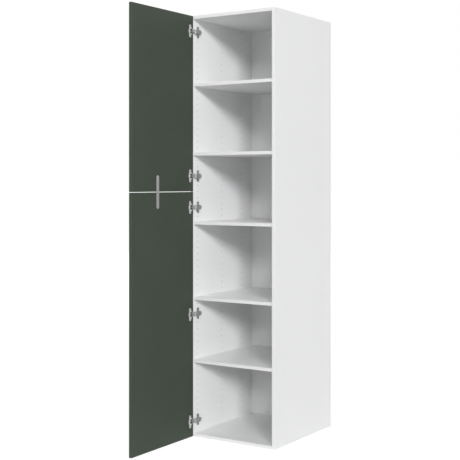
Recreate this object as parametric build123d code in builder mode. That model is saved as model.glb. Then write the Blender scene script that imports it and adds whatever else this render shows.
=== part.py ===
"""Tall kitchen shelf cabinet with two stacked doors hung on five cup hinges.

The frame's origin is the middle of the carcass base on the floor. +X points right,
+Y to the back and +Z up. Lengths are millimetres. The doors are drawn open at a right angle.
"""

import os

from build123d import *

# Driving dimensions of the carcass
PITCH = 32.0
HEIGHT = 67 * PITCH
WIDTH = 500.0
DEPTH = 580.0
BOARD = 16.0
BAND = 1.0
BAND_ROUNDING = 0.6
FIT_GAP = 0.1

BACK_THICKNESS = 8.0
BACK_FROM_FRONT = 558.0
BACK_GROOVE_DEPTH = 7.0

# Shelves, each one centred on a row of system holes
SHELF_ROWS = (12, 22, 34, 45, 56)
SHELF_SETBACK = 3.0
SHELF_SIDE_GAP = 0.5
SHELF_BACK_GAP = 2.0

# System holes in the inner faces of the sides
HOLE_RADIUS = 2.5
HOLE_DEPTH = 11.0
HOLE_COLUMNS = (37.0, 261.0, 453.0)
FIRST_HOLE_ROW = 2
LAST_FRONT_ROW = 65
LAST_REAR_ROW = 66

# Corner joints between the sides and the top and bottom
DOWEL_RADIUS = 4.0
DOWEL_LENGTH = 30.0
DOWEL_IN_SIDE = 10.0
DOWEL_CHAMFER = 0.8
DOWELS_FROM_FRONT = (40.0, 296.0, 520.0)
CAM_RADIUS = 7.5
CAM_HEIGHT = 12.5
CAM_BORE_DEPTH = 13.0
CAM_FROM_END = 34.0
CAM_SLOT_LENGTH = 7.0
CAM_SLOT_WIDTH = 1.6
CAM_SLOT_DEPTH = 2.5
CAMS_FROM_FRONT = (72.0, 488.0)
CAM_BOLT_RADIUS = 3.4
CAM_BOLT_THREAD_RADIUS = 2.45
CAM_BOLT_THREAD_LENGTH = 10.0
CAM_BOLT_NECK_RADIUS = 2.2
CAM_BOLT_HEAD = 4.0

# Shelf supports
SUPPORT_COLUMNS = (HOLE_COLUMNS[0], HOLE_COLUMNS[2])
SUPPORT_PIN_RADIUS = 2.45
SUPPORT_PIN_LENGTH = 9.0
TONGUE_LENGTH = 9.0
TONGUE_WIDTH = 10.0
TONGUE_THICKNESS = 3.0
TONGUE_END_GAP = 1.0
TONGUE_SIDE_GAP = 0.3

# Doors
DOOR_THICKNESS = 16.0
DOOR_WIDTH = 497.0
DOOR_END_REVEAL = 1.5
DOOR_JOINT_GAP = 3.0
DOOR_JOINT_HEIGHT = 39 * PITCH
DOOR_EDGE_ROUNDING = 1.5

# Hinge axis in plan from the carcass corner, and in the leaf from its edge and inner face
AXIS_FROM_SIDE = 9.3
AXIS_IN_FRONT = 12.3
AXIS_FROM_EDGE = 7.8
AXIS_BELOW_FACE = 9.8

# Hinges, each centred between two holes of the front column
LOWER_HINGES = (2.5 * PITCH, 19.5 * PITCH, 36.5 * PITCH)
UPPER_HINGES = (41.5 * PITCH, 64.5 * PITCH)

# Hinge cup, its flange and its screws
CUP_FROM_EDGE = 21.5
CUP_RADIUS = 17.4
CUP_INNER_RADIUS = 16.5
CUP_DEPTH = 13.1
CUP_INNER_DEPTH = 12.2
CUP_BORE_RADIUS = 17.5
CUP_BORE_DEPTH = 13.3
FLANGE_THICKNESS = 1.2
FLANGE_LENGTH = 65.5
FLANGE_WIDTH = 16.5
FLANGE_DISC_RADIUS = 18.0
FLANGE_ROUNDING = 0.4
MOUTH_FAR_EDGE = 26.0
MOUTH_HALF_HEIGHT = 11.2
CUP_SCREW_SPACING = 52.0
CUP_SCREW_OFFSET = 5.5
CUP_SCREW_RADIUS = 1.75
CUP_SCREW_HEAD_RADIUS = 3.3
CUP_SCREW_HEAD_HEIGHT = 1.55
CUP_SCREW_LENGTH = 11.0
CUP_SCREW_SINK_RADIUS = 2.4
CUP_SCREW_SINK_DEPTH = 0.5

# Hinge pin, and the two blocks in the cup that carry it
PIN_RADIUS = 1.2
PIN_CLEARANCE = 0.05
PIN_SEAT_CLEARANCE = 0.02
PIN_HALF_LENGTH = 8.0
BLOCK_NEAR_EDGE = 4.4
BLOCK_FAR_EDGE = 10.4
BLOCK_INNER = 4.6
BLOCK_OUTER = 9.5
BLOCK_OVER_AXIS = 3.0

# Hinge arm: bent strip seen in plan from the carcass corner, as (from side, behind front)
ARM_THICKNESS = 2.5
ARM_BEND_RADIUS = 2.0
EYE_RADIUS = 2.0
ARM_FOOT_Y = ARM_THICKNESS / 2 - EYE_RADIUS - AXIS_IN_FRONT
ARM_WEB_X = 28.75
ARM_PATH = (
    (AXIS_FROM_SIDE, ARM_FOOT_Y),
    (23.25, ARM_FOOT_Y),
    (23.25, 0.6),
    (ARM_WEB_X, 8.0),
    (ARM_WEB_X, 50.0),
    (24.25, 61.0),
)

# Arm seen from the side, as (behind front, half width)
ARM_OUTLINE = (
    (-20.0, 4.0),
    (-10.1, 4.0),
    (-8.0, 8.0),
    (-2.0, 10.0),
    (28.0, 12.5),
    (44.0, 11.0),
    (50.0, 9.0),
    (61.0, 4.0),
)

# Cheeks bent down from the arm's web, in plan as (from side, behind front)
CHEEK_OUTLINE = (
    (18.6, 8.0),
    (18.6, 46.0),
    (ARM_WEB_X, 46.0),
    (ARM_WEB_X, 9.0),
    (25.75, 5.5),
    (21.6, 5.5),
)
CHEEK_INNER = 8.5
CHEEK_THICKNESS = 1.5

# Mounting plate, its screws, and the two screws that hold the arm on it
MOUNT_COLUMN = HOLE_COLUMNS[0]
MOUNT_THICKNESS = 2.2
MOUNT_WING_THICKNESS = 5.2
MOUNT_WING_HEIGHT = 57.0
MOUNT_WING_WIDTH = 14.0
MOUNT_WING_ROUNDING = 5.0
MOUNT_WING_FROM_MIDDLE = 10.6
MOUNT_RAIL_FRONT = 14.0
MOUNT_RAIL_REAR = 52.0
MOUNT_RAIL_WIDTH = 2 * (CHEEK_INNER - FIT_GAP)
MOUNT_RAIL_HEIGHT = 8.4
MOUNT_RAIL_ROUNDING = 1.5
MOUNT_LIP = 1.5
MOUNT_SCREW_RADIUS = 2.45
MOUNT_SCREW_LENGTH = 13.0
MOUNT_SCREW_HEAD_RADIUS = 4.4
MOUNT_SCREW_HEAD_HEIGHT = 1.6
MOUNT_SCREW_CHAMFER = 0.6
SIDE_SCREW_Y = 20.0
DEPTH_CAM_Y = 43.0
ADJUSTER_RADIUS = 3.0
ADJUSTER_FOOT_GAP = 0.5
ADJUSTER_STAND_OFF = 0.5
CAM_HEAD_RADIUS = 4.2
CAM_HEAD_HEIGHT = ARM_THICKNESS + ADJUSTER_STAND_OFF

# Plate that joins the two doors, and its screws
PLATE_LENGTH = 163.0
PLATE_WIDTH = 19.0
PLATE_THICKNESS = 2.0
PLATE_ROUNDING = 0.5
PLATE_FROM_HINGE_EDGE = 296.5
PLATE_SCREWS = (-68.0, -30.0, 30.0, 68.0)
PLATE_HOLE_RADIUS = 2.3
PLATE_SCREW_RADIUS = 1.9
PLATE_SCREW_HEAD_RADIUS = 3.8
PLATE_SCREW_HEAD_HEIGHT = 1.8
PLATE_SCREW_LENGTH = 14.0

# Cross recess of a screw, as parts of its head radius, and its depth
RECESS_LENGTH = 1.1
RECESS_WIDTH = 0.25
RECESS_DEPTH = 1.0

# Derived places of the carcass
LEFT = -WIDTH / 2
FRONT = -DEPTH / 2
INNER_WIDTH = WIDTH - 2 * BOARD
INNER_RIGHT = INNER_WIDTH / 2
BACK_FACE = FRONT + BACK_FROM_FRONT
CORE_FRONT = FRONT + BAND
SHELF_HEIGHTS = [row * PITCH for row in SHELF_ROWS]
SHELF_WIDTH = INNER_WIDTH - 2 * SHELF_SIDE_GAP
SHELF_FRONT = FRONT + SHELF_SETBACK
CORNER_HEIGHTS = (BOARD / 2, HEIGHT - BOARD / 2)
CAM_X = INNER_RIGHT - CAM_FROM_END

# Derived places of the open leaf: the hinge axis, its inner face and its hinge edge
AXIS_X = LEFT + AXIS_FROM_SIDE
AXIS_Y = FRONT - AXIS_IN_FRONT
FACE_X = AXIS_X + AXIS_BELOW_FACE
EDGE_Y = AXIS_Y + AXIS_FROM_EDGE
CUP_Y = EDGE_Y - CUP_FROM_EDGE
CUP_SCREW_Y = CUP_Y - CUP_SCREW_OFFSET
PLATE_Y = EDGE_Y - PLATE_FROM_HINGE_EDGE
HINGES = LOWER_HINGES + UPPER_HINGES

TOP_ALIGNED = (Align.CENTER, Align.CENTER, Align.MAX)
FOOT_ALIGNED = (Align.CENTER, Align.CENTER, Align.MIN)

os.makedirs("parts", exist_ok=True)


def save(builder, name):
    """Label one finished piece and write its STEP file."""
    builder.part.label = name
    export_step(builder.part, f"parts/{name}.step")


def upright(x, y=0.0, z=0.0):
    """Plane square to X. It faces +X, its local X runs to the back and its local Y up."""
    return Plane(origin=(x, y, z), x_dir=(0, 1, 0), z_dir=(1, 0, 0))


def places(from_front, heights):
    """Points in an upright plane at every distance behind the front and every height."""
    return [(FRONT + y, z) for y in from_front for z in heights]


def side_panel(end):
    """One side with its back groove, system holes and corner joint holes."""
    inner = end * INNER_RIGHT
    front_column, *rear_columns = HOLE_COLUMNS
    front_rows = [row * PITCH for row in range(FIRST_HOLE_ROW, LAST_FRONT_ROW + 1)]
    rear_rows = [row * PITCH for row in range(FIRST_HOLE_ROW, LAST_REAR_ROW + 1)]
    with BuildPart() as panel:
        with BuildSketch(Plane.XY):
            with Locations((inner + end * BOARD / 2, CORE_FRONT)):
                Rectangle(BOARD, DEPTH - BAND, align=(Align.CENTER, Align.MIN))
        extrude(amount=HEIGHT)
        with BuildSketch(Plane.XY):
            with Locations((inner, BACK_FACE + BACK_THICKNESS / 2)):
                Rectangle(2 * BACK_GROOVE_DEPTH, BACK_THICKNESS + 2 * FIT_GAP)
        extrude(amount=HEIGHT, mode=Mode.SUBTRACT)
        with BuildSketch(upright(inner)):
            with Locations(*places([front_column], front_rows)):
                Circle(HOLE_RADIUS)
            with Locations(*places(rear_columns, rear_rows)):
                Circle(HOLE_RADIUS)
            with Locations(*places(CAMS_FROM_FRONT, CORNER_HEIGHTS)):
                Circle(CAM_BOLT_THREAD_RADIUS + FIT_GAP)
        extrude(amount=end * HOLE_DEPTH, mode=Mode.SUBTRACT)
        with BuildSketch(upright(inner)):
            with Locations(*places(DOWELS_FROM_FRONT, CORNER_HEIGHTS)):
                Circle(DOWEL_RADIUS + FIT_GAP)
        extrude(amount=end * (DOWEL_IN_SIDE + FIT_GAP), mode=Mode.SUBTRACT)
    return panel


save(side_panel(-1), "left_side_panel")
save(side_panel(1), "right_side_panel")


def level_panel(middle, outward):
    """Top or bottom panel. outward is 1 on the top, whose cams open upward, and -1 below."""
    inner_z = middle - outward * BOARD / 2
    outer_z = middle + outward * BOARD / 2
    with BuildPart() as panel:
        with BuildSketch(Plane.XY.offset(middle)):
            with Locations((0, CORE_FRONT)):
                Rectangle(INNER_WIDTH, DEPTH - BAND, align=(Align.CENTER, Align.MIN))
        extrude(amount=BOARD / 2, both=True)
        with BuildSketch(Plane.XY.offset(inner_z)):
            with Locations((0, BACK_FACE + BACK_THICKNESS / 2)):
                Rectangle(INNER_WIDTH, BACK_THICKNESS + 2 * FIT_GAP)
        extrude(amount=outward * BACK_GROOVE_DEPTH, mode=Mode.SUBTRACT)
        with BuildSketch(Plane.XY.offset(outer_z)):
            with Locations(*[(x, FRONT + y) for x in (-CAM_X, CAM_X) for y in CAMS_FROM_FRONT]):
                Circle(CAM_RADIUS + FIT_GAP)
        extrude(amount=-outward * CAM_BORE_DEPTH, mode=Mode.SUBTRACT)
        for end in (-1, 1):
            with BuildSketch(upright(end * INNER_RIGHT)):
                with Locations(*places(DOWELS_FROM_FRONT, [middle])):
                    Circle(DOWEL_RADIUS + FIT_GAP)
            depth = DOWEL_LENGTH - DOWEL_IN_SIDE + DOWEL_CHAMFER
            extrude(amount=-end * depth, mode=Mode.SUBTRACT)
            with BuildSketch(upright(end * INNER_RIGHT)):
                with Locations(*places(CAMS_FROM_FRONT, [middle])):
                    Circle(CAM_BOLT_RADIUS + FIT_GAP)
            extrude(amount=-end * CAM_FROM_END, mode=Mode.SUBTRACT)
    return panel


save(level_panel(CORNER_HEIGHTS[0], -1), "bottom_panel")
save(level_panel(CORNER_HEIGHTS[1], 1), "top_panel")

with BuildPart() as back_panel:
    in_groove = BACK_GROOVE_DEPTH - FIT_GAP
    with BuildSketch(Plane.XY.offset(BOARD - in_groove)):
        with Locations((0, BACK_FACE)):
            back_width = INNER_WIDTH + 2 * in_groove
            Rectangle(back_width, BACK_THICKNESS, align=(Align.CENTER, Align.MIN))
    extrude(amount=HEIGHT - 2 * (BOARD - in_groove))
save(back_panel, "back_panel")


def side_band(end):
    """Front edge band of a side panel, rounded along its two long front edges."""
    with BuildPart() as band:
        with BuildSketch(Plane.XY):
            with Locations((end * (INNER_RIGHT + BOARD / 2), FRONT)):
                Rectangle(BOARD, BAND, align=(Align.CENTER, Align.MIN))
        extrude(amount=HEIGHT)
        fillet(band.edges().filter_by(Axis.Z).group_by(Axis.Y)[0], BAND_ROUNDING)
    return band


def level_bands(width, y_front, heights):
    """Front edge bands of level boards, one separate strip at each mid height."""
    with BuildPart() as band:
        for height in heights:
            with BuildSketch(Plane.XY.offset(height)):
                with Locations((0, y_front)):
                    Rectangle(width, BAND, align=(Align.CENTER, Align.MIN))
            extrude(amount=BOARD / 2, both=True)
        fillet(band.edges().filter_by(Axis.X).group_by(Axis.Y)[0], BAND_ROUNDING)
    return band


save(side_band(-1), "left_side_edge_band")
save(side_band(1), "right_side_edge_band")
save(level_bands(INNER_WIDTH, FRONT, CORNER_HEIGHTS[:1]), "bottom_edge_band")
save(level_bands(INNER_WIDTH, FRONT, CORNER_HEIGHTS[1:]), "top_edge_band")
save(level_bands(SHELF_WIDTH, SHELF_FRONT, SHELF_HEIGHTS), "shelf_edge_bands")


def shelf(height):
    """One shelf with four pockets under its ends for the supports' tongues."""
    shelf_depth = BACK_FACE - SHELF_BACK_GAP - SHELF_FRONT - BAND
    pocket_corners = [(x, FRONT + y) for x in (-INNER_RIGHT, INNER_RIGHT) for y in SUPPORT_COLUMNS]
    with BuildPart() as board:
        with BuildSketch(Plane.XY.offset(height)):
            with Locations((0, SHELF_FRONT + BAND)):
                Rectangle(SHELF_WIDTH, shelf_depth, align=(Align.CENTER, Align.MIN))
        extrude(amount=BOARD / 2, both=True)
        with BuildSketch(Plane.XY.offset(height + TONGUE_THICKNESS / 2)):
            with Locations(*pocket_corners):
                Rectangle(
                    2 * (TONGUE_LENGTH + TONGUE_END_GAP),
                    TONGUE_WIDTH + 2 * TONGUE_SIDE_GAP,
                )
        extrude(amount=-BOARD, mode=Mode.SUBTRACT)
    return board


for number, shelf_height in enumerate(SHELF_HEIGHTS, start=1):
    save(shelf(shelf_height), f"shelf_{number}")

with BuildPart() as shelf_supports:
    for end in (-1, 1):
        with BuildSketch(upright(end * INNER_RIGHT)):
            with Locations(*places(SUPPORT_COLUMNS, SHELF_HEIGHTS)):
                Circle(SUPPORT_PIN_RADIUS)
        extrude(amount=end * SUPPORT_PIN_LENGTH)
        with BuildSketch(upright(end * INNER_RIGHT)):
            with Locations(*places(SUPPORT_COLUMNS, SHELF_HEIGHTS)):
                Rectangle(TONGUE_WIDTH, TONGUE_THICKNESS)
        extrude(amount=-end * TONGUE_LENGTH)
save(shelf_supports, "shelf_supports")

with BuildPart() as corner_dowels:
    for end in (-1, 1):
        with BuildSketch(upright(end * (INNER_RIGHT + DOWEL_IN_SIDE))):
            with Locations(*places(DOWELS_FROM_FRONT, CORNER_HEIGHTS)):
                Circle(DOWEL_RADIUS)
        extrude(amount=-end * DOWEL_LENGTH)
    chamfer(corner_dowels.edges().filter_by(GeomType.CIRCLE), DOWEL_CHAMFER)
save(corner_dowels, "corner_dowels")

# Each bolt is threaded into the side, and its head is gripped in the cam housing
with BuildPart() as cam_bolts:
    reach = CAM_FROM_END - CAM_BOLT_HEAD
    for end in (-1, 1):
        for radius, start, length in (
            (CAM_BOLT_THREAD_RADIUS, CAM_BOLT_THREAD_LENGTH, CAM_BOLT_THREAD_LENGTH),
            (CAM_BOLT_RADIUS, 0, reach - CAM_RADIUS),
            (CAM_BOLT_NECK_RADIUS, CAM_RADIUS - reach, CAM_RADIUS),
            (CAM_BOLT_RADIUS, -reach, CAM_BOLT_HEAD),
        ):
            with BuildSketch(upright(end * (INNER_RIGHT + start))):
                with Locations(*places(CAMS_FROM_FRONT, CORNER_HEIGHTS)):
                    Circle(radius)
            extrude(amount=-end * length)
save(cam_bolts, "cam_bolts")

with BuildPart() as cam_housings:
    centres = [(x, FRONT + y) for x in (-CAM_X, CAM_X) for y in CAMS_FROM_FRONT]
    for outer_face, outward in ((0, -1), (HEIGHT, 1)):
        with BuildSketch(Plane.XY.offset(outer_face - outward * CAM_BORE_DEPTH)):
            with Locations(*centres):
                Circle(CAM_RADIUS)
        extrude(amount=outward * CAM_HEIGHT)
        with BuildSketch(Plane.XY.offset(outer_face - outward * CAM_SLOT_DEPTH)):
            with Locations(*centres):
                Rectangle(CAM_SLOT_LENGTH, CAM_SLOT_WIDTH)
                Rectangle(CAM_SLOT_WIDTH, CAM_SLOT_LENGTH)
        extrude(amount=outward * CAM_SLOT_DEPTH, mode=Mode.SUBTRACT)
    for end in (-1, 1):
        with BuildSketch(upright(end * (CAM_X + CAM_RADIUS))):
            with Locations(*places(CAMS_FROM_FRONT, CORNER_HEIGHTS)):
                Circle(CAM_BOLT_RADIUS + FIT_GAP)
        extrude(amount=-end * (CAM_RADIUS + CAM_BOLT_HEAD), mode=Mode.SUBTRACT)
save(cam_housings, "cam_housings")


def cup_screw_places(hinges):
    """Points in the leaf's face of the two screws of each cup."""
    half = CUP_SCREW_SPACING / 2
    return [(CUP_SCREW_Y, z + step) for z in hinges for step in (-half, half)]


def plate_screw_heights(z_low, z_high):
    """Heights of the joining plate's screws between two heights."""
    heights = [DOOR_JOINT_HEIGHT + step for step in PLATE_SCREWS]
    return [z for z in heights if z_low < z < z_high]


def door(z_low, z_high, hinges):
    """One flat door with its cup bores and the pilot holes of its screws."""
    pilot_depth = PLATE_SCREW_LENGTH - PLATE_THICKNESS + FIT_GAP
    with BuildPart() as leaf:
        with BuildSketch(Plane.XY.offset(z_low)):
            with Locations((FACE_X, EDGE_Y)):
                Rectangle(DOOR_THICKNESS, DOOR_WIDTH, align=(Align.MAX, Align.MAX))
        extrude(amount=z_high - z_low)
        fillet(leaf.edges(), DOOR_EDGE_ROUNDING)
        with BuildSketch(upright(FACE_X)):
            with Locations(*[(CUP_Y, z) for z in hinges]):
                Circle(CUP_BORE_RADIUS)
        extrude(amount=-CUP_BORE_DEPTH, mode=Mode.SUBTRACT)
        with BuildSketch(upright(FACE_X)):
            with Locations(*cup_screw_places(hinges)):
                Circle(CUP_SCREW_RADIUS + FIT_GAP)
        extrude(amount=-CUP_SCREW_LENGTH, mode=Mode.SUBTRACT)
        with BuildSketch(upright(FACE_X)):
            with Locations(*cup_screw_places(hinges)):
                Circle(CUP_SCREW_SINK_RADIUS)
        extrude(amount=-CUP_SCREW_SINK_DEPTH, mode=Mode.SUBTRACT)
        with BuildSketch(upright(FACE_X)):
            with Locations(*[(PLATE_Y, z) for z in plate_screw_heights(z_low, z_high)]):
                Circle(PLATE_SCREW_RADIUS + FIT_GAP)
        extrude(amount=-pilot_depth, mode=Mode.SUBTRACT)
    return leaf


joint_low = DOOR_JOINT_HEIGHT - DOOR_JOINT_GAP / 2
joint_high = DOOR_JOINT_HEIGHT + DOOR_JOINT_GAP / 2
save(door(DOOR_END_REVEAL, joint_low, LOWER_HINGES), "lower_door")
save(door(joint_high, HEIGHT - DOOR_END_REVEAL, UPPER_HINGES), "upper_door")


def cross_recess(head_radius):
    """Cut a cross into the screws at the places in use."""
    length = RECESS_LENGTH * head_radius
    width = RECESS_WIDTH * head_radius
    Box(length, width, RECESS_DEPTH, align=TOP_ALIGNED, mode=Mode.SUBTRACT)
    Box(width, length, RECESS_DEPTH, align=TOP_ALIGNED, mode=Mode.SUBTRACT)


def countersunk_screws(planes, shank_radius, head_radius, head_height, length):
    """Screws whose flat heads lie flush with the planes."""
    with BuildPart() as screws:
        with Locations(*planes):
            Cone(shank_radius, head_radius, head_height, align=TOP_ALIGNED)
            Cylinder(shank_radius, length, align=TOP_ALIGNED)
            cross_recess(head_radius)
    return screws


plate_outer_x = FACE_X + PLATE_THICKNESS
plate_planes = [upright(plate_outer_x, PLATE_Y, z) for z in plate_screw_heights(0, HEIGHT)]

with BuildPart() as door_joining_plate:
    with BuildSketch(upright(FACE_X, PLATE_Y, DOOR_JOINT_HEIGHT)):
        SlotOverall(PLATE_LENGTH, PLATE_WIDTH, rotation=90)
    extrude(amount=PLATE_THICKNESS)
    fillet(door_joining_plate.faces().sort_by(Axis.X)[-1].edges(), PLATE_ROUNDING)
    with Locations(*plate_planes):
        CounterSinkHole(PLATE_HOLE_RADIUS, PLATE_SCREW_HEAD_RADIUS + FIT_GAP)
save(door_joining_plate, "door_joining_plate")

save(
    countersunk_screws(
        plate_planes,
        PLATE_SCREW_RADIUS,
        PLATE_SCREW_HEAD_RADIUS,
        PLATE_SCREW_HEAD_HEIGHT,
        PLATE_SCREW_LENGTH,
    ),
    "joining_plate_screws",
)


def hinge_cup(z):
    """Cup pressed into the door, its oval flange and the two blocks that carry the pin."""
    block_floor = AXIS_BELOW_FACE - BLOCK_OVER_AXIS
    block_y = CUP_FROM_EDGE - (BLOCK_NEAR_EDGE + BLOCK_FAR_EDGE) / 2
    block_z = (BLOCK_INNER + BLOCK_OUTER) / 2
    with BuildPart() as cup:
        with BuildSketch(upright(FACE_X, CUP_Y, z)):
            Circle(FLANGE_DISC_RADIUS)
            with Locations((-CUP_SCREW_OFFSET, 0)):
                SlotOverall(FLANGE_LENGTH, FLANGE_WIDTH, rotation=90)
        extrude(amount=FLANGE_THICKNESS)
        fillet(cup.faces().sort_by(Axis.X)[-1].edges(), FLANGE_ROUNDING)
        with BuildSketch(upright(FACE_X, CUP_Y, z)):
            Circle(CUP_RADIUS)
        extrude(amount=-CUP_DEPTH)
        with BuildSketch(upright(FACE_X - block_floor, CUP_Y, z)):
            Circle(CUP_INNER_RADIUS)
        extrude(amount=block_floor, mode=Mode.SUBTRACT)
        with BuildSketch(upright(FACE_X, CUP_Y, z)):
            Circle(CUP_INNER_RADIUS)
            with Locations((CUP_FROM_EDGE - MOUTH_FAR_EDGE, 0)):
                Rectangle(
                    2 * CUP_RADIUS,
                    2 * MOUTH_HALF_HEIGHT,
                    align=(Align.MIN, Align.CENTER),
                    mode=Mode.INTERSECT,
                )
        extrude(amount=FLANGE_THICKNESS, mode=Mode.SUBTRACT)
        with BuildSketch(upright(FACE_X - CUP_INNER_DEPTH, CUP_Y, z)):
            Circle(CUP_INNER_RADIUS)
            with Locations((block_y, -block_z), (block_y, block_z)):
                Rectangle(
                    BLOCK_FAR_EDGE - BLOCK_NEAR_EDGE,
                    BLOCK_OUTER - BLOCK_INNER,
                    mode=Mode.SUBTRACT,
                )
        extrude(amount=CUP_INNER_DEPTH - block_floor, mode=Mode.SUBTRACT)
        with BuildSketch(Plane.XY.offset(z)):
            with Locations((AXIS_X, AXIS_Y)):
                Circle(PIN_RADIUS + PIN_SEAT_CLEARANCE)
        extrude(amount=PIN_HALF_LENGTH + FIT_GAP, both=True, mode=Mode.SUBTRACT)
        with BuildSketch(upright(FACE_X)):
            with Locations(*cup_screw_places([z])):
                Circle(CUP_SCREW_HEAD_RADIUS + FIT_GAP)
        extrude(amount=FLANGE_THICKNESS, mode=Mode.SUBTRACT)
    return cup


def plan_point(from_side, behind_front):
    """Plan point measured from the carcass corner."""
    return (LEFT + from_side, FRONT + behind_front)


def hinge_arm(z):
    """Arm from the eye in the cup, round the door's rim and along the cabinet side."""
    upper_half = [(FRONT + y, z + half) for y, half in ARM_OUTLINE]
    lower_half = [(FRONT + y, z - half) for y, half in reversed(ARM_OUTLINE)]
    cheek_corners = [plan_point(x, y) for x, y in CHEEK_OUTLINE]
    with BuildPart() as arm:
        with BuildSketch(Plane.XY.offset(z)):
            with BuildLine():
                FilletPolyline(*[plan_point(x, y) for x, y in ARM_PATH], radius=ARM_BEND_RADIUS)
            trace(line_width=ARM_THICKNESS)
            with Locations((AXIS_X, AXIS_Y)):
                Circle(EYE_RADIUS)
                Circle(PIN_RADIUS + PIN_CLEARANCE, mode=Mode.SUBTRACT)
        extrude(amount=BOARD, both=True)
        with BuildSketch(upright(LEFT)):
            Polygon(*upper_half, *lower_half, align=None)
        extrude(amount=2 * ARM_WEB_X, mode=Mode.INTERSECT)
        for cheek_low in (-CHEEK_INNER - CHEEK_THICKNESS, CHEEK_INNER):
            with BuildSketch(Plane.XY.offset(z + cheek_low)):
                Polygon(*cheek_corners, align=None)
            extrude(amount=CHEEK_THICKNESS)
        for y, radius in ((SIDE_SCREW_Y, ADJUSTER_RADIUS), (DEPTH_CAM_Y, CAM_HEAD_RADIUS)):
            with BuildSketch(upright(LEFT + ARM_WEB_X, FRONT + y, z)):
                Circle(radius + FIT_GAP)
            extrude(amount=ARM_THICKNESS, both=True, mode=Mode.SUBTRACT)
    return arm


def mounting_plate(z):
    """Cross-shaped plate with thick wings for its screws, and the rail that the arm clips over."""
    rail_length = MOUNT_RAIL_REAR - MOUNT_RAIL_FRONT
    rail_y = FRONT + (MOUNT_RAIL_REAR + MOUNT_RAIL_FRONT) / 2
    with BuildPart() as plate:
        with BuildSketch(upright(-INNER_RIGHT, rail_y, z)):
            RectangleRounded(
                rail_length + 2 * MOUNT_LIP,
                MOUNT_RAIL_WIDTH + 2 * MOUNT_LIP,
                MOUNT_RAIL_ROUNDING + MOUNT_LIP,
            )
        extrude(amount=MOUNT_THICKNESS)
        with BuildSketch(upright(-INNER_RIGHT, FRONT + MOUNT_COLUMN, z)):
            RectangleRounded(MOUNT_WING_WIDTH, MOUNT_WING_HEIGHT, MOUNT_WING_ROUNDING)
        extrude(amount=MOUNT_THICKNESS)
        with BuildSketch(upright(-INNER_RIGHT, FRONT + MOUNT_COLUMN, z)):
            RectangleRounded(MOUNT_WING_WIDTH, MOUNT_WING_HEIGHT, MOUNT_WING_ROUNDING)
            Rectangle(MOUNT_WING_WIDTH, 2 * MOUNT_WING_FROM_MIDDLE, mode=Mode.SUBTRACT)
        extrude(amount=MOUNT_WING_THICKNESS)
        with BuildSketch(upright(-INNER_RIGHT, rail_y, z)):
            RectangleRounded(rail_length, MOUNT_RAIL_WIDTH, MOUNT_RAIL_ROUNDING)
        extrude(amount=MOUNT_RAIL_HEIGHT)
        with BuildSketch(upright(-INNER_RIGHT)):
            with Locations(*places([MOUNT_COLUMN], [z - PITCH / 2, z + PITCH / 2])):
                Circle(MOUNT_SCREW_RADIUS + FIT_GAP)
        extrude(amount=MOUNT_WING_THICKNESS, mode=Mode.SUBTRACT)
        with BuildSketch(upright(-INNER_RIGHT + MOUNT_THICKNESS)):
            with Locations(*places([SIDE_SCREW_Y, DEPTH_CAM_Y], [z])):
                Circle(ADJUSTER_RADIUS + FIT_GAP)
        extrude(amount=MOUNT_RAIL_HEIGHT, mode=Mode.SUBTRACT)
    return plate


for number, hinge_height in enumerate(HINGES, start=1):
    save(hinge_cup(hinge_height), f"hinge_cup_{number}")
    save(hinge_arm(hinge_height), f"hinge_arm_{number}")
    save(mounting_plate(hinge_height), f"mounting_plate_{number}")

flange_top_x = FACE_X + FLANGE_THICKNESS
save(
    countersunk_screws(
        [upright(flange_top_x, y, z) for y, z in cup_screw_places(HINGES)],
        CUP_SCREW_RADIUS,
        CUP_SCREW_HEAD_RADIUS,
        CUP_SCREW_HEAD_HEIGHT,
        CUP_SCREW_LENGTH,
    ),
    "hinge_cup_screws",
)

with BuildPart() as hinge_pins:
    for hinge_height in HINGES:
        with BuildSketch(Plane.XY.offset(hinge_height)):
            with Locations((AXIS_X, AXIS_Y)):
                Circle(PIN_RADIUS)
        extrude(amount=PIN_HALF_LENGTH, both=True)
save(hinge_pins, "hinge_pins")

with BuildPart() as mounting_plate_screws:
    wing_top_x = -INNER_RIGHT + MOUNT_WING_THICKNESS
    head_top_x = wing_top_x + MOUNT_SCREW_HEAD_HEIGHT
    screw_heights = [z + step for z in HINGES for step in (-PITCH / 2, PITCH / 2)]
    screw_y = FRONT + MOUNT_COLUMN
    with Locations(*[upright(wing_top_x, screw_y, z) for z in screw_heights]):
        Cylinder(MOUNT_SCREW_RADIUS, MOUNT_SCREW_LENGTH, align=TOP_ALIGNED)
        Cylinder(MOUNT_SCREW_HEAD_RADIUS, MOUNT_SCREW_HEAD_HEIGHT, align=FOOT_ALIGNED)
    chamfer(mounting_plate_screws.faces().group_by(Axis.X)[-1].edges(), MOUNT_SCREW_CHAMFER)
    with Locations(*[upright(head_top_x, screw_y, z) for z in screw_heights]):
        cross_recess(MOUNT_SCREW_HEAD_RADIUS)
save(mounting_plate_screws, "mounting_plate_screws")


def adjusters(behind_front, head_radius, head_height):
    """Screws that stand square to the side, through the arm into the rail."""
    head_top_x = LEFT + ARM_WEB_X + ARM_THICKNESS / 2 + ADJUSTER_STAND_OFF
    foot_x = -INNER_RIGHT + MOUNT_THICKNESS + ADJUSTER_FOOT_GAP
    with BuildPart() as screws:
        with Locations(*[upright(head_top_x, FRONT + behind_front, z) for z in HINGES]):
            Cylinder(ADJUSTER_RADIUS, head_top_x - foot_x, align=TOP_ALIGNED)
            Cylinder(head_radius, head_height, align=TOP_ALIGNED)
            cross_recess(ADJUSTER_RADIUS)
    return screws


save(adjusters(SIDE_SCREW_Y, ADJUSTER_RADIUS, ARM_THICKNESS), "hinge_side_screws")
save(adjusters(DEPTH_CAM_Y, CAM_HEAD_RADIUS, CAM_HEAD_HEIGHT), "hinge_depth_cams")
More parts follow.
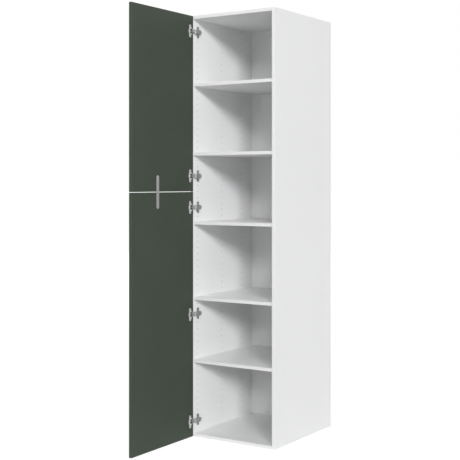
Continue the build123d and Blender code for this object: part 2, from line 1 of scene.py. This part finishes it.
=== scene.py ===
"""Looks of the tall shelf cabinet: materials for every piece, floor, light and camera.

Lengths are metres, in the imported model's frame. Colours are linear RGB.
"""

import math

import bpy
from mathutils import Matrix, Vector

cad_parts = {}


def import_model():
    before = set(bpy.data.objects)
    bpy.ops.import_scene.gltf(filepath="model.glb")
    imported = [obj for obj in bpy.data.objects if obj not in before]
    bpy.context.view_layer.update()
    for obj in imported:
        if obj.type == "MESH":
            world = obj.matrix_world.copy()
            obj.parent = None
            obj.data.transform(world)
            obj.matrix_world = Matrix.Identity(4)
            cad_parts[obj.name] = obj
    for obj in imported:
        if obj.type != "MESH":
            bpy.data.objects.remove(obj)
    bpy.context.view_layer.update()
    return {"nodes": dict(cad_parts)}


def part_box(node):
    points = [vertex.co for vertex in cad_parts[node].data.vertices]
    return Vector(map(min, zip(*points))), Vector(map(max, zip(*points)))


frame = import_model()
nodes = frame["nodes"]

X, Y, Z = range(3)
HINGES = range(1, 6)
SHELVES = range(1, 6)

# Edges sharper than this stay sharp in the shading
SHARP_ANGLE = math.radians(30)

# Depth of the white foil on a board's two faces. Cut edges show the board's core.
FOIL = 0.00012

# Thickness of a hinge cup's flange, a little over its real size
CUP_FLANGE = 0.00125

# Reach past a node's box, so that a face in the box's own plane lies safely inside
MARGIN = 0.001

# How a noise is drawn out: evenly, or as grain along one axis
EVEN = (1, 1, 1)
ALONG_X = (0.06, 1, 1)
ALONG_Y = (1, 0.05, 1)
ALONG_Z = (1, 1, 0.03)

# Darker and lighter tone of each finish that isn't metal
FOIL_TONES = ((0.912, 0.914, 0.918), (0.926, 0.928, 0.932))
BAND_TONES = ((0.915, 0.915, 0.915), (0.93, 0.93, 0.93))
GREEN_TONES = ((0.053, 0.068, 0.051), (0.058, 0.074, 0.056))
BEECH_TONES = ((0.42, 0.25, 0.12), (0.6, 0.41, 0.23))

# Tones of the chips in a board's core, as (position in the ramp, colour)
CHIP_TONES = (
    (0.0, (0.24, 0.19, 0.145)),
    (0.35, (0.43, 0.37, 0.30)),
    (0.7, (0.55, 0.49, 0.41)),
    (1.0, (0.66, 0.60, 0.52)),
)

# Tone of each metal. Its duller patches are a shade darker.
CUP_METAL = (0.74, 0.74, 0.735)
# Painted shade: near-black colour inside each hinge cup, standing in for the shadow in the cup's
# hollow
CUP_PAINTED_SHADE = (0.12, 0.12, 0.125)
JOINING_PLATE_METAL = (0.46, 0.465, 0.46)
ARM_METAL = (0.37, 0.37, 0.37)
MOUNT_METAL = (0.39, 0.39, 0.4)
SCREW_METAL = (0.46, 0.46, 0.46)
CAST_METAL = (0.42, 0.42, 0.43)
PATCH_SHADE = 0.88
# Darker of the two tones of the painted shade inside the cups, as a share of the lighter
CUP_PAINTED_SHADE_DARKER = 0.8

# How far two tones lie either side of the middle of a noise: soft clouds or wide ones
CLOUD = 0.15
WIDE_CLOUD = 0.2

# Most of a noise's values lie between these two
NOISE_LOW = 0.3
NOISE_HIGH = 0.7

# How metallic the plated steel is, and the brighter mounting plates
PLATED = 0.35
POLISHED = 0.9

# How far the grain of the metal takes its roughness down and up
GRAIN_DOWN = 0.06
GRAIN_UP = 0.1

# Floor: half its side, the grey that lights the object, the grey that takes its shadow where the
# camera looks, and the white added to that, as (distance from the origin, level)
FLOOR_REACH = 120.0
FLOOR_GREY = 0.9
FLOOR_SHADING = 0.3
FLOOR_WHITE_NEAR = (1.0, 0.86)
FLOOR_WHITE_FAR = (6.0, 1.0)

# Level of the even light from all round
AMBIENT = 0.02

# Soft round lamps aimed at one point, as (name, direction, distance, diameter, level)
AIM = Vector((0.0, -0.2, 1.1))
LAMPS = (
    ("key", (1.0, -1.0, 0.43), 50.0, 10.0, 0.52),
    ("front", (0.62, -1.0, 0.43), 50.0, 10.0, 0.18),
    ("overhead", (0.0, -0.5, 1.0), 8.0, 6.0, 0.27),
    ("right", (1.0, -0.15, 0.25), 8.0, 6.0, 0.13),
    ("rear", (-0.7, 1.0, 0.5), 12.0, 13.0, 0.45),
)


class Tree:
    """A node tree, emptied, with short ways to add and join nodes."""

    def __init__(self, tree):
        self.tree = tree
        tree.nodes.clear()

    def add(self, kind, **values):
        """A new node. values are set on its inputs, with _ for each space in a name."""
        node = self.tree.nodes.new("ShaderNode" + kind)
        for name, value in values.items():
            node.inputs[name.replace("_", " ")].default_value = value
        return node

    def link(self, source, target):
        self.tree.links.new(source, target)

    def math(self, operation, first, second):
        """A Math node. The second value is a number or a socket."""
        node = self.add("Math")
        node.operation = operation
        self.link(first, node.inputs[0])
        if isinstance(second, (int, float)):
            node.inputs[1].default_value = second
        else:
            self.link(second, node.inputs[1])
        return node.outputs["Value"]

    def map_range(self, value, start, end):
        """A value mapped between start and end, each a pair of (value in, value out)."""
        low_in, low_out = start
        high_in, high_out = end
        node = self.add(
            "MapRange",
            From_Min=low_in,
            From_Max=high_in,
            To_Min=low_out,
            To_Max=high_out,
        )
        self.link(value, node.inputs["Value"])
        return node.outputs["Result"]

    def mix_shader(self, mask, under, over):
        """Shader under, and over where the mask is 1."""
        node = self.add("MixShader")
        for source, target in zip((mask, under.outputs[0], over.outputs[0]), node.inputs):
            self.link(source, target)
        return node


class Look(Tree):
    """One node material built round a Principled shader."""

    def __init__(self, name, **values):
        self.material = bpy.data.materials.new(name)
        self.material.use_nodes = True
        super().__init__(self.material.node_tree)
        self.shader = self.add("BsdfPrincipled", **values)
        self.link(self.shader.outputs["BSDF"], self.add("OutputMaterial").inputs["Surface"])
        self.place = self.add("TexCoord").outputs["Object"]

    def noise(self, scale, detail, stretch=EVEN):
        """Noise in the object's own space. scale is in features per metre."""
        mapping = self.add("Mapping", Scale=stretch)
        self.link(self.place, mapping.inputs["Vector"])
        texture = self.add("TexNoise", Scale=scale, Detail=detail)
        self.link(mapping.outputs["Vector"], texture.inputs["Vector"])
        return texture.outputs["Fac"]

    def flakes(self, scale):
        """A random value for each chip of a pressed board."""
        texture = self.add("TexVoronoi", Scale=scale)
        self.link(self.place, texture.inputs["Vector"])
        return texture.outputs["Color"]

    def ramp(self, value, *stops):
        """Colours along a value, as (position, colour)."""
        node = self.add("ValToRGB")
        elements = node.color_ramp.elements
        while len(elements) < len(stops):
            elements.new(1.0)
        for element, (position, colour) in zip(elements, stops):
            element.position = position
            element.color = (*colour, 1)
        self.link(value, node.inputs["Fac"])
        return node.outputs["Color"]

    def tones(self, value, dark, light, reach=CLOUD):
        """Two tones that run into each other round the middle of a noise."""
        return self.ramp(value, (0.5 - reach, dark), (0.5 + reach, light))

    def mix(self, mask, under, over):
        """Colour under, and over where the mask is 1."""
        node = self.add("Mix")
        node.data_type = "RGBA"
        colours = [socket for socket in node.inputs if socket.type == "RGBA"]
        for source, target in zip((mask, under, over), (node.inputs["Factor"], *colours)):
            self.link(source, target)
        return next(socket for socket in node.outputs if socket.type == "RGBA")

    def between(self, axis, low, high):
        """1 where the place lies between two numbers along an axis, else 0."""
        split = self.add("SeparateXYZ")
        self.link(self.place, split.inputs["Vector"])
        above = self.math("GREATER_THAN", split.outputs[axis], low)
        below = self.math("LESS_THAN", split.outputs[axis], high)
        return self.math("MULTIPLY", above, below)

    def colour(self, tone):
        self.link(tone, self.shader.inputs["Base Color"])

    def roughness(self, noise, low, high):
        """Roughness that a noise spreads between two values."""
        spread = self.map_range(noise, (NOISE_LOW, low), (NOISE_HIGH, high))
        self.link(spread, self.shader.inputs["Roughness"])

    def bump(self, height, distance, strength=0.5):
        """Relief of the given depth, on top of any relief made before."""
        normal = self.shader.inputs["Normal"]
        node = self.add("Bump", Distance=distance, Strength=strength)
        self.link(height, node.inputs["Height"])
        if normal.links:
            self.link(normal.links[0].from_socket, node.inputs["Normal"])
        self.link(node.outputs["Normal"], normal)

    def wear(self, *names):
        """Put this material on CAD nodes, in place of their plain one."""
        for name in names:
            nodes[name].data.materials.clear()
            nodes[name].data.materials.append(self.material)


def numbered(name, numbers):
    return [f"{name}_{number}" for number in numbers]


def shaded(colour, level):
    return tuple(level * part for part in colour)


def board(name, axis):
    """White foil on the two faces across an axis, and pressed chips wherever the core shows."""
    low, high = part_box(name)
    look = Look("board_" + name, Specular_IOR_Level=0.4)
    chips = look.ramp(look.flakes(420.0), *CHIP_TONES)
    core = look.between(axis, low[axis] + FOIL, high[axis] - FOIL)
    foil = look.tones(look.noise(3.0, detail=3), *FOIL_TONES)
    look.colour(look.mix(core, foil, chips))
    look.roughness(look.noise(160.0, detail=3), 0.38, 0.46)
    look.bump(look.noise(1100.0, detail=2), 0.00004)
    look.wear(name)


def edge_bands(*names):
    """White plastic edge band: a touch smoother than the boards."""
    look = Look("edge_band")
    look.colour(look.tones(look.noise(5.0, detail=2), *BAND_TONES))
    look.roughness(look.noise(240.0, detail=2), 0.32, 0.4)
    look.bump(look.noise(900.0, detail=2), 0.00003)
    look.wear(*names)


def lacquer(*names):
    """Matt dark green paint, sprayed: a fine dimpled skin over a faint cloud of tone."""
    look = Look("door_lacquer", Specular_IOR_Level=0.2)
    look.colour(look.tones(look.noise(4.0, detail=4), *GREEN_TONES, WIDE_CLOUD))
    look.roughness(look.noise(90.0, detail=4), 0.46, 0.58)
    look.bump(look.noise(420.0, detail=3), 0.00006, 0.6)
    look.bump(look.noise(1800.0, detail=1), 0.00002)
    look.wear(*names)


def dowel_wood(*names):
    """Pale beech with its grain along the dowel."""
    look = Look("beech", Roughness=0.6)
    grain = look.noise(500.0, detail=5, stretch=ALONG_X)
    look.colour(look.tones(grain, *BEECH_TONES))
    look.bump(grain, 0.0001, 0.6)
    look.wear(*names)


def metal_tones(look, metal):
    """Plated metal with a few duller patches."""
    return look.tones(look.noise(60.0, detail=4), shaded(metal, PATCH_SHADE), metal)


def satin(look, roughness, stretch, names):
    """Fine drawn grain on plated metal, put on CAD nodes."""
    grain = look.noise(900.0, detail=3, stretch=stretch)
    look.roughness(grain, roughness - GRAIN_DOWN, roughness + GRAIN_UP)
    look.bump(grain, 0.00003)
    look.wear(*names)


def steel(name, metal, roughness, stretch, *names, metallic=PLATED):
    """Satin plated steel with a drawn grain along one direction and a few duller patches."""
    look = Look(name, Metallic=metallic)
    look.colour(metal_tones(look, metal))
    satin(look, roughness, stretch, names)


def hinge_cups(*names):
    """Bright flange, with painted shade inside the cup: below the flange the colour is near
    black, standing in for the shadow in the hollow.
    """
    look = Look("cup_steel", Metallic=PLATED)
    flange = metal_tones(look, CUP_METAL)
    dark = shaded(CUP_PAINTED_SHADE, CUP_PAINTED_SHADE_DARKER)
    painted_shade_inside = look.tones(look.noise(130.0, detail=3), dark, CUP_PAINTED_SHADE, WIDE_CLOUD)
    low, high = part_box(names[0])
    # Painted shade: everything below the flange's face takes the near-black inside colour
    below = look.between(X, low[X] - MARGIN, high[X] - CUP_FLANGE)
    look.colour(look.mix(below, flange, painted_shade_inside))
    satin(look, 0.42, EVEN, names)


board("left_side_panel", X)
board("right_side_panel", X)
board("back_panel", Y)
for level in ("top_panel", "bottom_panel", *numbered("shelf", SHELVES)):
    board(level, Z)
edge_bands(
    "left_side_edge_band",
    "right_side_edge_band",
    "top_edge_band",
    "bottom_edge_band",
    "shelf_edge_bands",
)
lacquer("upper_door", "lower_door")
dowel_wood("corner_dowels")
hinge_cups(*numbered("hinge_cup", HINGES))
steel("joining_plate_steel", JOINING_PLATE_METAL, 0.42, ALONG_Z, "door_joining_plate")
steel("arm_steel", ARM_METAL, 0.44, ALONG_Y, *numbered("hinge_arm", HINGES))
mounting_plates = numbered("mounting_plate", HINGES)
steel("mount_steel", MOUNT_METAL, 0.32, EVEN, *mounting_plates, metallic=POLISHED)
steel(
    "screw_steel",
    SCREW_METAL,
    0.38,
    EVEN,
    "hinge_cup_screws",
    "hinge_pins",
    "mounting_plate_screws",
    "hinge_side_screws",
    "hinge_depth_cams",
    "joining_plate_screws",
    "cam_bolts",
    "shelf_supports",
)
steel("cast_zinc", CAST_METAL, 0.5, EVEN, "cam_housings")

for node in nodes.values():
    node.data.shade_smooth()
    node.data.set_sharp_from_angle(angle=SHARP_ANGLE)


def grey(level):
    return (level, level, level, 1)


def floor_material():
    """Pale floor. The camera sees it white, with the object's shadow, and gloss sees it white."""
    material = bpy.data.materials.new("floor")
    material.use_nodes = True
    tree = Tree(material.node_tree)
    path = tree.add("LightPath").outputs
    distance = tree.add("VectorMath")
    distance.operation = "LENGTH"
    tree.link(tree.add("TexCoord").outputs["Object"], distance.inputs[0])
    glow = tree.add("Emission")
    level = tree.map_range(distance.outputs["Value"], FLOOR_WHITE_NEAR, FLOOR_WHITE_FAR)
    tree.link(level, glow.inputs["Strength"])
    seen = tree.add("AddShader")
    tree.link(tree.add("BsdfDiffuse", Color=grey(FLOOR_SHADING)).outputs[0], seen.inputs[0])
    tree.link(glow.outputs[0], seen.inputs[1])
    mirrored = tree.math("MAXIMUM", path["Is Glossy Ray"], path["Is Transmission Ray"])
    pale = tree.add("BsdfDiffuse", Color=grey(FLOOR_GREY))
    unseen = tree.mix_shader(mirrored, pale, tree.add("Emission"))
    surface = tree.mix_shader(path["Is Camera Ray"], unseen, seen)
    tree.link(surface.outputs[0], tree.add("OutputMaterial").inputs["Surface"])
    return material


def floor():
    """Square floor under the object."""
    low, high = -FLOOR_REACH, FLOOR_REACH
    mesh = bpy.data.meshes.new("floor")
    corners = [(low, low, 0), (high, low, 0), (high, high, 0), (low, high, 0)]
    mesh.from_pydata(corners, [], [(0, 1, 2, 3)])
    mesh.materials.append(floor_material())
    plane = bpy.data.objects.new("floor", mesh)
    bpy.context.scene.collection.objects.link(plane)


def world():
    """White round the camera's view and in gloss, and an even pale light on everything."""
    sky = bpy.data.worlds.new("studio")
    sky.use_nodes = True
    tree = Tree(sky.node_tree)
    path = tree.add("LightPath").outputs
    soft = tree.add("Background", Color=grey(1), Strength=AMBIENT)
    white = tree.add("Background", Color=grey(1), Strength=1.0)
    seen = tree.math("MAXIMUM", path["Is Camera Ray"], path["Is Glossy Ray"])
    every = tree.math("MAXIMUM", seen, path["Is Transmission Ray"])
    light = tree.mix_shader(every, soft, white)
    tree.link(light.outputs[0], tree.add("OutputWorld").inputs["Surface"])
    bpy.context.scene.world = sky


def lamp(name, direction, distance, diameter, level):
    """Soft round lamp. level is the light on a surface that faces it, 1 being plain white."""
    data = bpy.data.lights.new(name, "AREA")
    data.shape = "DISK"
    data.size = diameter
    data.energy = level * (math.pi * distance) ** 2
    light = bpy.data.objects.new(name, data)
    towards = Vector(direction).normalized()
    light.location = AIM + distance * towards
    light.rotation_euler = towards.to_track_quat("Z", "Y").to_euler()
    bpy.context.scene.collection.objects.link(light)


def camera():
    """Camera at the photograph's place, fitted to the corners of the carcass and the doors."""
    lens = bpy.data.cameras.new("camera")
    lens.lens = 78.95
    lens.sensor_width = 36.0
    lens.shift_y = -0.1035
    lens.clip_end = 500.0
    eye = bpy.data.objects.new("camera", lens)
    eye.location = (2.761, -4.480, 1.295)
    eye.rotation_euler = (math.radians(90), 0, math.radians(33.47))
    bpy.context.scene.collection.objects.link(eye)
    bpy.context.scene.camera = eye


floor()
world()
for row in LAMPS:
    lamp(*row)
camera()
bpy.context.scene.view_settings.view_transform = "Standard"
